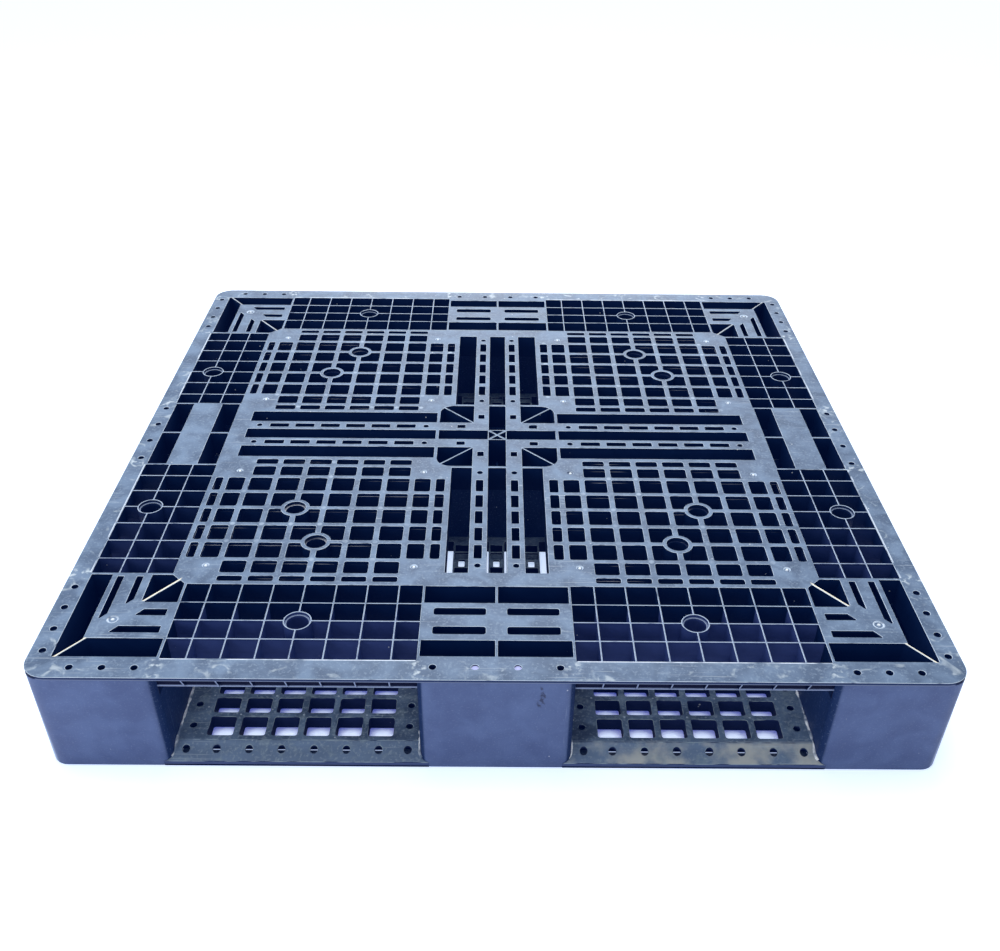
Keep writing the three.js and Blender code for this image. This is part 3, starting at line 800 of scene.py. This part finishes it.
def between_legs(first, last, low):
    """Plan of a strip along the outer edge between two legs, flared round their rounded edges."""
    def outline(grow=0):
        middle, radius, high = LEG_REACH - LEG_RADIUS, LEG_RADIUS + GAP - grow, LEG_REACH + grow
        start = math.asin(max(0, low - grow - middle) / radius)
        stop = math.asin((high - middle) / radius) if high - middle < radius else math.pi / 2
        right = arc(last + LEG_RADIUS, middle, radius, math.pi - start, math.pi - stop, 8)
        if low < middle:
            right.insert(0, (last - GAP + grow, low - grow))
        return right + [(first + last - x, y) for x, y in reversed(right)]
    return outline


def add_ramps(bm):
    """Between the legs: a ramp pierced by round holes, the blunt lip below it, and the ribs under it."""
    web_face = RAMP_GAP[0] - LAP
    web_end = LEG_REACH - 2.5
    for lines, _, _, move in fork_openings():
        first, last = lines[0], lines[-1]
        places = [first + 15.7] + [line + PITCH / 2 + 0.5 for line in lines[1:-2]] + [last - 14]
        holes = [moved(circle(place, CREASE + 10.5, 4.8, 20), move) for place in places]
        flat = len(bm.verts)
        add_plate(bm, moved(between_legs(first, last, CREASE), move), holes, SKIN_BOTTOM, BASE_TOP)
        bm.verts.ensure_lookup_table()
        for vert in bm.verts[flat:]:
            vert.co.z -= (max(abs(vert.co.x), abs(vert.co.y)) - CREASE * MM) * RAMP_SLOPE
        plates = [(between_legs(first, last, LEG_REACH - 3), 0, SKIN_BOTTOM - RAMP_DROP + 0.3, 0.6),
                  (between_legs(first, last, RAMP_GAP[1]), 0.3, 3, 0)]
        for place in (places[0], places[-1]):
            plates.append((box(place - 8, RAMP_GAP[0] - 1, place + 8, RAMP_GAP[1] + 1), 0.5, 2.8, 0))
        for plan, low, high, foot in plates:
            add_plate(bm, moved(plan, move), [], low, high, 0, foot)
        web = [(web_face, 0.5), (web_end, 0.5), (web_end, BASE_TOP - RAMP_DROP - 1.8), (web_face, 17.1)]
        for line in lines[1:-1]:
            add_prism(bm, [move(line - 1, out, height) for out, height in web], move(2, 0, 0))


def bottom_deck():
    bm = bmesh.new()
    for add in (add_base_flat, add_base_nubs, add_ramps):
        add(bm)
    return finished("bottom_deck_grid", bm)


# ---------------------------------------------------------------- weld beads
def add_bead(bm, path, seed):
    """An uneven weld bead along a list of points."""
    rings = []
    for index, place in enumerate(path):
        lump = noise.noise(Vector((index * 0.21, seed, 0))) + 0.5 * noise.noise(Vector((index * 0.63, seed, 4)))
        radius = max(0.6, 1.4 + 2 * lump)
        along = Vector(path[min(index + 1, len(path) - 1)]) - Vector(path[max(index - 1, 0)])
        level = along.cross(Vector((0, 0, 1))).normalized()
        up = level.cross(along).normalized()
        rings.append(new_ring(bm, [Vector(place) + level * x + up * y for x, y in circle(0, 0, radius, 6)()]))
    join_rings(bm, rings)
    bm.faces.new(rings[0])
    bm.faces.new(rings[-1])


def bead_path(face, outward):
    """Along a leg's side wall on the bottom deck, then down the ramp; outward goes from leg to opening."""
    path = []
    for step in range(62):
        out = 384 + 2.6 * step
        rounding = max(0, out - (LEG_REACH - LEG_RADIUS))
        back = LEG_RADIUS - math.sqrt(LEG_RADIUS ** 2 - rounding ** 2)
        path.append((face + outward * (0.9 - back), out, BASE_TOP - max(0, out - CREASE) * RAMP_SLOPE + 0.4))
    return path


def weld_beads():
    bm = bmesh.new()
    seed = 0
    for lines, _, _, move in fork_openings():
        for face, outward in ((lines[0], 1), (lines[-1], -1)):
            seed += 7.3
            add_bead(bm, [move(*point) for point in bead_path(face, outward)], seed)
    return finished("weld_beads", bm, 60)


# ---------------------------------------------------------------- materials
def colour(shade):
    """Three numbers are a colour the way a screen shows it, 0 to 255; anything else is passed on."""
    if not isinstance(shade, tuple) or len(shade) != 3:
        return shade
    return tuple(((c / 255 + 0.055) / 1.055) ** 2.4 for c in shade) + (1,)


def most(values):
    """The largest of several masks."""
    largest, *others = values
    for other in others:
        largest = largest | other
    return largest


class Value:
    """An output of a material's node. Arithmetic on it adds a math node, and | is the larger of two."""

    def __init__(self, finish, socket):
        self.finish, self.socket = finish, socket

    def __add__(self, other):
        return self.finish.math("ADD", self, other)

    def __sub__(self, other):
        return self.finish.math("SUBTRACT", self, other)

    def __mul__(self, other):
        return self.finish.math("MULTIPLY", self, other)

    def __or__(self, other):
        return self.finish.math("MAXIMUM", self, other)

    def __abs__(self):
        return self.finish.math("ABSOLUTE", self)

    def step(self, low, high):
        """0 below low, 1 above high and smooth between; the other way round when low is the larger."""
        if low > high:
            return self.finish.math("SUBTRACT", 1.0, self.step(high, low))
        inputs = {"Value": self, "From Min": low, "From Max": high}
        return self.finish.node("ShaderNodeMapRange", inputs, interpolation_type="SMOOTHSTEP")

    def span(self, low, high, soft=1):
        """1 between low and high."""
        return self.step(low, low + soft) * self.step(high, high - soft)

    def near(self, place, reach, core):
        """1 within core of a place and 0 beyond reach."""
        return abs(self - place).step(reach, core)


class Finish:
    """Builds one plastic material, with places in millimetres. Its methods add nodes and return Values."""

    def __init__(self, name):
        self.material = bpy.data.materials.new(name)
        self.material.use_nodes = True
        self.tree = self.material.node_tree
        self.shader = self.tree.nodes["Principled BSDF"]
        self.position = self.node("ShaderNodeNewGeometry", {}, "Position")
        self.x, self.y, self.z = (self.part(self.position, axis) * (1 / MM) for axis in range(3))
        self.across, self.along = abs(self.x), abs(self.y)
        self.outer = self.across | self.along
        self.facing_up = self.part(self.node("ShaderNodeNewGeometry", {}, "True Normal"), 2)

    def node(self, kind, inputs, output=0, **settings):
        made = self.tree.nodes.new(kind)
        for key, value in settings.items():
            setattr(made, key, value)
        for key, value in inputs.items():
            if isinstance(value, Value):
                self.tree.links.new(value.socket, made.inputs[key])
            else:
                made.inputs[key].default_value = value
        return Value(self, made.outputs[output])

    def part(self, vector, axis):
        return self.node("ShaderNodeSeparateXYZ", {0: vector}, axis)

    def math(self, operation, *values):
        return self.node("ShaderNodeMath", dict(enumerate(values)), operation=operation)

    def distance(self, off_x, off_y):
        return self.math("SQRT", off_x * off_x + off_y * off_y)

    def noise(self, scale, detail, stretch=(1, 1, 1), turn=0.0, warp=0.0):
        inputs = {"Vector": self.position, "Rotation": (0, 0, math.radians(turn)), "Scale": stretch}
        place = self.node("ShaderNodeMapping", inputs)
        inputs = {"Vector": place, "Scale": scale, "Detail": detail, "Distortion": warp}
        return self.node("ShaderNodeTexNoise", inputs)

    def specks(self, scale, size, share):
        """Small round dots: size is their radius as a part of a cell, share is how many cells have one."""
        cells = {"Vector": self.position, "Scale": scale}
        chosen = self.part(self.node("ShaderNodeTexVoronoi", cells, "Color"), 0).step(1 - share, 1.01 - share)
        return self.node("ShaderNodeTexVoronoi", cells, "Distance").step(size, size / 2) * chosen

    def scratches(self, turn, amount):
        """Fine lines along one direction; amount is the level above which noise becomes a scratch."""
        lines = self.noise(1, 2, (9, 420, 9), turn).step(amount, amount + 0.06)
        return lines * self.noise(7, 2).step(0.42, 0.62)

    def beside_borders(self, low_y, high_y, low_x, high_x, soft=1):
        """A band along the rim, where the border holds only thin ribs; low and high are its two edges."""
        ends = self.along.span(low_y, high_y, soft) * self.across.span(LEG_HALF + 1.5, CORNER_X - 1)
        sides = self.across.span(low_x, high_x, soft) * self.along.span(LEG_HALF + 1.5, CORNER_Y - 1)
        return ends | sides

    def mix(self, factor, a, b):
        return self.node("ShaderNodeMix", {0: factor, 6: colour(a), 7: colour(b)}, 2, data_type="RGBA")

    def layers(self, shade, layers):
        """A shade with others laid over it, each given with its mask."""
        for mask, layer in layers:
            shade = self.mix(mask, shade, layer)
        return shade

    def finish(self, shade, roughness, gloss, height, depth):
        """Connects the channels; depth is the distance of a full step of the bump height. A trace of blue light
        stands for the haze that lifts the deepest shadows."""
        bump = self.node("ShaderNodeBump", {"Height": height, "Distance": depth, "Strength": 1.0})
        channels = {"Base Color": shade, "Roughness": roughness, "Specular IOR Level": gloss, "Normal": bump}
        for name, value in channels.items():
            self.tree.links.new(value.socket, self.shader.inputs[name])
        self.shader.inputs["Emission Color"].default_value = (0, 0.13, 1, 1)
        self.shader.inputs["Emission Strength"].default_value = 0.014
        return self.material


def deck_finish():
    """Dark polyethylene with dust and wear on what faces up, pale edges that are partly wear and partly painted
    highlight, and painted light and shade in the cells and under the lip.
    """
    f = Finish("deck_plastic")
    mottle, grain = f.noise(26, 5, warp=0.6), f.noise(310, 3)
    up, top = f.facing_up, f.facing_up.step(0.9, 0.97)
    ribs = f.beside_borders(419, RIM_Y - 0.5, 419.5, RIM_X - 0.5)
    # Painted highlight: a pale line along the rim's inner edge, where its rounding would catch the light.
    rim_edge_highlight = f.beside_borders(RIM_Y - 0.2, RIM_Y + 1.6, RIM_X - 0.2, RIM_X + 1.4, 0.4)
    rim = (f.across + (RIM_X - RIM_Y) | f.along).step(RIM_Y - 1, RIM_Y + 5) * top
    panels = f.across.step(CORNER_X + 1, CORNER_X - 3) * f.along.step(CORNER_Y + 1, CORNER_Y - 3)
    # Chamfers near the top are painted pale: partly edge wear, partly painted highlight along the edges.
    edges = up.step(0.35, 0.6) * up.step(0.95, 0.85) * f.z.step(TOP - 5, TOP - 3.5)
    ledges = top * f.z.step(PANEL_LEDGE - 1.5, PANEL_LEDGE - 0.5) * f.z.step(PANEL_LEDGE + 1, PANEL_LEDGE + 0.5)
    # Painted light: border cell walls towards the front get a lighter colour; all other walls keep the dark
    # colour.
    wall = f.mix(ribs * f.y.step(-100, -500), f.mix(mottle, (0, 18, 48), (10, 34, 74)),
                 f.mix(mottle, (40, 54, 104), (66, 82, 138)))
    dust = f.layers(f.mix(mottle.step(0.3, 0.72), (72, 92, 119), (110, 132, 160)), (
        (grain.step(0.5, 0.75) * 0.55, (138, 157, 179)),
        (ribs * 0.6, (140, 154, 184)),
        (crossings(f) * panels * f.noise(18, 2).step(0.45, 0.7) * 0.7, (170, 188, 208))))
    shade = f.layers(wall, [
        # Dust only on up-facing faces near the top; deeper up-facing ledges keep the dark wall colour as
        # painted shade.
        (top * f.z.step(TOP - 6.2, TOP - 3), dust),
        (edges * f.noise(60, 3).step(0.2, 0.5), (200, 216, 234)),
        (rim * f.noise(34, 6, (1, 1, 1), 20, 1.5).step(0.58, 0.74) * 0.6, (196, 208, 216)),
        (rim * leg_ends(f) * f.noise(120, 6).step(0.5, 0.66) * 0.75, (206, 218, 226)),
        (rim_edge_highlight * top * f.noise(30, 2).step(0.35, 0.55), (214, 224, 238)),
        *((f.scratches(*line) * top * 0.45, (190, 200, 210)) for line in ((8, 0.66), (-35, 0.68), (72, 0.68))),
        (f.specks(70, 0.09, 0.16) * 0.8, (226, 232, 236)),
        # Painted glints on the gate nubs and bosses.
        (gate_glints_and_rings(f) * f.z.step(TOP - 3, TOP - 2.5), (240, 246, 250)),
        # Ledge tops in the panels: partly dust, partly painted light where the ledges catch it.
        (ledges * f.noise(11, 2).step(0.5, 0.68), (220, 224, 232)),
        (corner_ribs(f) * top, (246, 238, 216)),
        *under_lip(f)])
    return f.finish(shade, mottle * 0.3 + 0.42, top * 0.4 + 0.1, mottle * 0.5 + grain * 0.35, 0.0006)


def crossings(f):
    """Spots where grid bars cross, every PITCH from the first bar."""
    off_x, off_y = (f.math("PINGPONG", place - FIRST_BAR, PITCH / 2) for place in (f.across, f.along))
    return f.distance(off_x, off_y).step(4.8, 2.2)


def leg_ends(f):
    """The rim next to the ends of the legs, where loads and straps rub it."""
    ends = [(f.across, CORNER_X + 2), (f.along, CORNER_Y + 2)]
    ends += [(value, LEG_HALF - 3) for value in (f.across, f.along)]
    return most(value.near(place, 15, 3) for value, place in ends)


def gate_glints_and_rings(f):
    """Painted glints on the gate nubs and on the nub of each corner plate's boss, and the boss's paler ring."""
    nubs = [f.distance(f.across - x, f.along - y).step(2.4, 1.6) for x, y in GATE_MARKS]
    from_boss = f.distance(f.across - BOSS[0], f.along - BOSS[1])
    ring = from_boss.step(5.2, 6) * from_boss.step(7.4, 6.6) * f.noise(170, 2).step(0.4, 0.8) * 0.6
    return most(nubs + [from_boss.step(2.4, 1.6) * 0.8, ring])


def corner_ribs(f):
    """The diagonal ribs of the corner blocks, whose tops have been rubbed pale, most of all at the front."""
    def along_line(x, y, slope):
        return abs((f.across - x) * slope - (f.along - y)).step(2.6, 1.8)
    outer = along_line(PLATE_X1 - 2, PLATE_Y1 + 1, 1.245) * f.along.span(PLATE_Y1 + 0.5, RIM_Y - 1.5)
    inner = along_line(406.3, 368.8, 1.229) * f.along.step(413, 411) * f.across.step(403, 407)
    return (outer | inner) * (f.y.step(100, -100) * 0.7 + 0.3)


def under_lip(f):
    """Layers for the painted shade in the recess under the rim's lip, the painted highlights on its bead and
    gusset edges, the two tones of the lip's face, and the plugs in the front rim."""
    up, lip_bottom = f.facing_up, TOP - LIP
    # Painted shade: the recess under the lip is coloured near black.
    recess = f.outer.step(SIDE_WALL - 3, SIDE_WALL - 1.5) * f.z.step(lip_bottom + 0.2, lip_bottom - 0.4)
    # Painted highlights on the bead and on the downward gusset edges, where they catch the light.
    bead = f.outer.step(SIDE_WALL - 0.5, SIDE_WALL) * f.z.step(SKIRT_BOTTOM + 1.5, SKIRT_BOTTOM + 1.2)
    gusset = up.step(-0.3, -0.4) * up.step(-0.97, -0.9) * f.z.step(lip_bottom - 0.2, lip_bottom - 0.6)
    face = f.outer.step(REACH - 2, REACH - 1) * up.step(0.5, 0.3) * f.z.step(lip_bottom - 0.4, lip_bottom)
    plug = f.across.near(PLUG[0], 5.5, 5) * f.y.step(-523, -523.5) * f.z.step(TOP - 0.8, TOP - 1.1)
    return [(recess, (2, 6, 34)),
            (recess * (bead | gusset), (150, 166, 202)),
            (face, f.mix(f.z.step(TOP - 3.6, TOP - 3.2), (120, 134, 168), (46, 60, 98))),
            (plug * up.step(0.7, 0.9), (186, 190, 238))]


def leg_finish():
    """Smooth blue-violet polyethylene with a few pale nicks and one old stain on the front centre leg, with
    painted light on the outer faces, painted shade on the other faces and pocket floors, and a painted
    highlight at grazing angles on the outer corners.
    """
    f = Finish("leg_plastic")
    mottle, grain = f.noise(30, 5, warp=0.4), f.noise(420, 2)
    corner = f.across.step(515, 520) * f.along.step(515, 520)
    # Painted light: the outer faces and outer corners get a lighter, lit tone; the other faces keep the darker
    # tone as painted shade.
    front = f.outer.step(LEG_REACH - 3.8, LEG_REACH - 1.4) | corner
    wander = (f.noise(70, 4) - 0.5) * 20
    from_stain = f.distance((f.x + wander - 51.5) * 5, f.z + wander - 121)
    stain = from_stain.step(21, 12) * f.y.step(-540, -545) * f.noise(150, 4).step(0.4, 0.56)
    # Painted highlight where the outer corners are seen at a grazing angle.
    glancing_highlight = f.node("ShaderNodeLayerWeight", {"Blend": 0.5}, "Facing").step(0.72, 0.97)
    shade = f.layers(f.mix(mottle, (18, 40, 82), (34, 58, 104)), (
        (front, f.mix(mottle.step(0.25, 0.75), (72, 91, 140), (90, 111, 160))),
        # Painted shade on the up-facing floors inside the legs.
        (f.facing_up.step(0.5, 0.7), (14, 36, 74)),
        (grain.step(0.55, 0.75) * 0.25, (130, 150, 190)),
        (f.specks(60, 0.07, 0.12) * 0.8, (214, 222, 236)),
        (f.scratches(4, 0.7) * 0.25, (150, 168, 205)),
        (stain * 0.75, (30, 34, 66)),
        (glancing_highlight * corner * 0.75, (196, 216, 252))))
    return f.finish(shade, mottle * 0.25 + 0.4, front * 0.35 + 0.15, mottle * 0.6 + grain * 0.25, 0.0007)


def base_finish():
    """Grey-green polyethylene, scraped by fork tines and dusty, most of all on the front right ramp."""
    f = Finish("base_plastic")
    mottle, grain = f.noise(24, 6, warp=0.8), f.noise(260, 4)
    up, top = f.facing_up, f.facing_up.step(0.78, 0.88)
    ramp = f.outer.step(CREASE - 5, CREASE + 3)
    dusty = ramp * f.x.step(50, 100) * f.y.step(-400, -500) * f.noise(22, 5).step(0.4, 0.62)
    lip = f.outer.step(LEG_REACH - 1.5, LEG_REACH - 0.5) * up.step(0.5, 0.3)
    worn = f.layers(f.mix(mottle.step(0.3, 0.7), (38, 59, 84), (86, 108, 134)), (
        (ramp * 0.6, (100, 122, 152)),
        (dusty * 0.8, (180, 182, 176)),
        (f.noise(75, 5).step(0.5, 0.72) * 0.45, (120, 138, 148)),
        (grain.step(0.5, 0.76) * 0.5, (146, 162, 172))))
    shade = f.layers(f.mix(mottle, (14, 24, 58), (32, 44, 86)), [
        (top, worn),
        (up.step(0.35, 0.6) * up.step(0.84, 0.78) * f.noise(50, 3).step(0.35, 0.6), (150, 168, 180)),
        *((f.scratches(*line) * top * 0.5, (160, 174, 184)) for line in ((3, 0.64), (-14, 0.66), (86, 0.67))),
        (f.specks(60, 0.1, 0.2) * 0.6, (200, 208, 212)),
        (f.z.step(BASE_TOP + 0.1, BASE_TOP + 0.3) * 0.6, (176, 192, 208)),
        (lip, f.mix(mottle, (66, 80, 124), (88, 104, 150)))])
    return f.finish(shade, mottle * 0.3 + 0.5, top * 0.4 + 0.1, mottle * 0.5 + grain * 0.5, 0.0009)


def bead_finish():
    """Weld beads: melted plastic, pale and chalky in places."""
    f = Finish("weld_plastic")
    patches = f.noise(45, 4)
    shade = f.mix(patches.step(0.4, 0.55), (112, 130, 154), (240, 245, 250))
    return f.finish(shade, patches * 0.3 + 0.4, patches * 0.8, f.noise(300, 3), 0.0005)


# ---------------------------------------------------------------- build
deck = top_deck()
legs = {node: leg(node, *place) for node, place in LEGS.items()}
base, beads = bottom_deck(), weld_beads()
for node, piece in {"top_deck": deck, **legs, "bottom_deck": base}.items():
    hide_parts(node)
looks = [([deck], deck_finish(), "deck_plastic"), (legs.values(), leg_finish(), "leg_plastic"),
         ([base], base_finish(), "base_plastic"), ([beads], bead_finish(), "base_plastic")]
for pieces, material, slot in looks:
    for piece in pieces:
        piece.data.materials.append(material)


# ---------------------------------------------------------------- stage
def camera():
    """The place, lens and tilt that were fitted to the photograph."""
    data = bpy.data.cameras.new("camera")
    data.sensor_width, data.lens, data.shift_y, data.clip_end = 36, 37.86, 0.0808, 50
    eye = bpy.data.objects.new("camera", data)
    bpy.context.collection.objects.link(eye)
    eye.location = (-0.0048, -1.4247, 0.9922)
    eye.rotation_euler = [math.radians(degrees) for degrees in (52.817, -0.5705, -0.0304)]
    bpy.context.scene.camera = eye


def seen_brighter(tree, dull, bright):
    """Joins two shaders: the bright one is what the camera sees directly, the dull one lights the pallet."""
    path = tree.nodes.new("ShaderNodeLightPath")
    mix = tree.nodes.new("ShaderNodeMixShader")
    for socket, place in ((path.outputs["Is Camera Ray"], 0), (dull, 1), (bright, 2)):
        tree.links.new(socket, mix.inputs[place])
    return mix.outputs[0]


def floor():
    """A pale floor. To the camera it is brighter than it is to the pallet, as in an overexposed picture, and a
    bluer contact shadow shows through the windows of the bottom deck."""
    bpy.ops.mesh.primitive_plane_add(size=40, location=(0, 0, -0.0005))
    ground = bpy.context.active_object
    ground.name = "floor"
    f = Finish("floor")
    f.shader.inputs["Base Color"].default_value = (0.8, 0.8, 0.84, 1)
    f.shader.inputs["Roughness"].default_value = 0.9
    open_sky = f.node("ShaderNodeAmbientOcclusion", {"Distance": 0.022}, "AO", samples=8)
    shadow = open_sky.step(0.64, 0.38) * f.outer.step(CORNER_X - 1, CORNER_X + 4) * f.outer.step(522, 518)
    glow = f.node("ShaderNodeEmission", {"Color": f.mix(shadow, (0.5, 0.62, 0.84, 1), (0.03, 0.05, 0.3, 1))})
    dull = f.shader.outputs[0]
    bright = f.node("ShaderNodeAddShader", {0: Value(f, dull), 1: glow})
    f.tree.links.new(seen_brighter(f.tree, dull, bright.socket), f.tree.nodes["Material Output"].inputs[0])
    ground.data.materials.append(f.material)


def sky():
    world = bpy.data.worlds.new("world")
    bpy.context.scene.world = world
    world.use_nodes = True
    tree = world.node_tree
    dull, bright = tree.nodes["Background"], tree.nodes.new("ShaderNodeBackground")
    for background, shade, strength in ((dull, (0.9, 0.95, 1, 1), 0.62), (bright, (1, 1, 1, 1), 1.05)):
        background.inputs[0].default_value = shade
        background.inputs[1].default_value = strength
    surface = seen_brighter(tree, dull.outputs[0], bright.outputs[0])
    tree.links.new(surface, tree.nodes["World Output"].inputs[0])


def soft_light(name, place, size, power):
    data = bpy.data.lights.new(name, "AREA")
    data.shape, data.size, data.energy, data.color = "DISK", size, power, (0.95, 0.97, 1)
    lamp = bpy.data.objects.new(name, data)
    bpy.context.collection.objects.link(lamp)
    lamp.location = place
    lamp.rotation_euler = (-Vector(place)).to_track_quat("-Z", "Y").to_euler()


camera()
floor()
sky()
soft_light("overhead", (-0.3, 0.2, 2.6), 1.8, 36)
soft_light("front_left", (-1.8, -2.4, 1.3), 1.4, 15)
soft_light("behind", (0.1, 2.6, 1.1), 2.2, 45)
soft_light("left", (-2.7, 0.1, 0.8), 1.6, 9)
bpy.context.scene.view_settings.view_transform = "Standard"
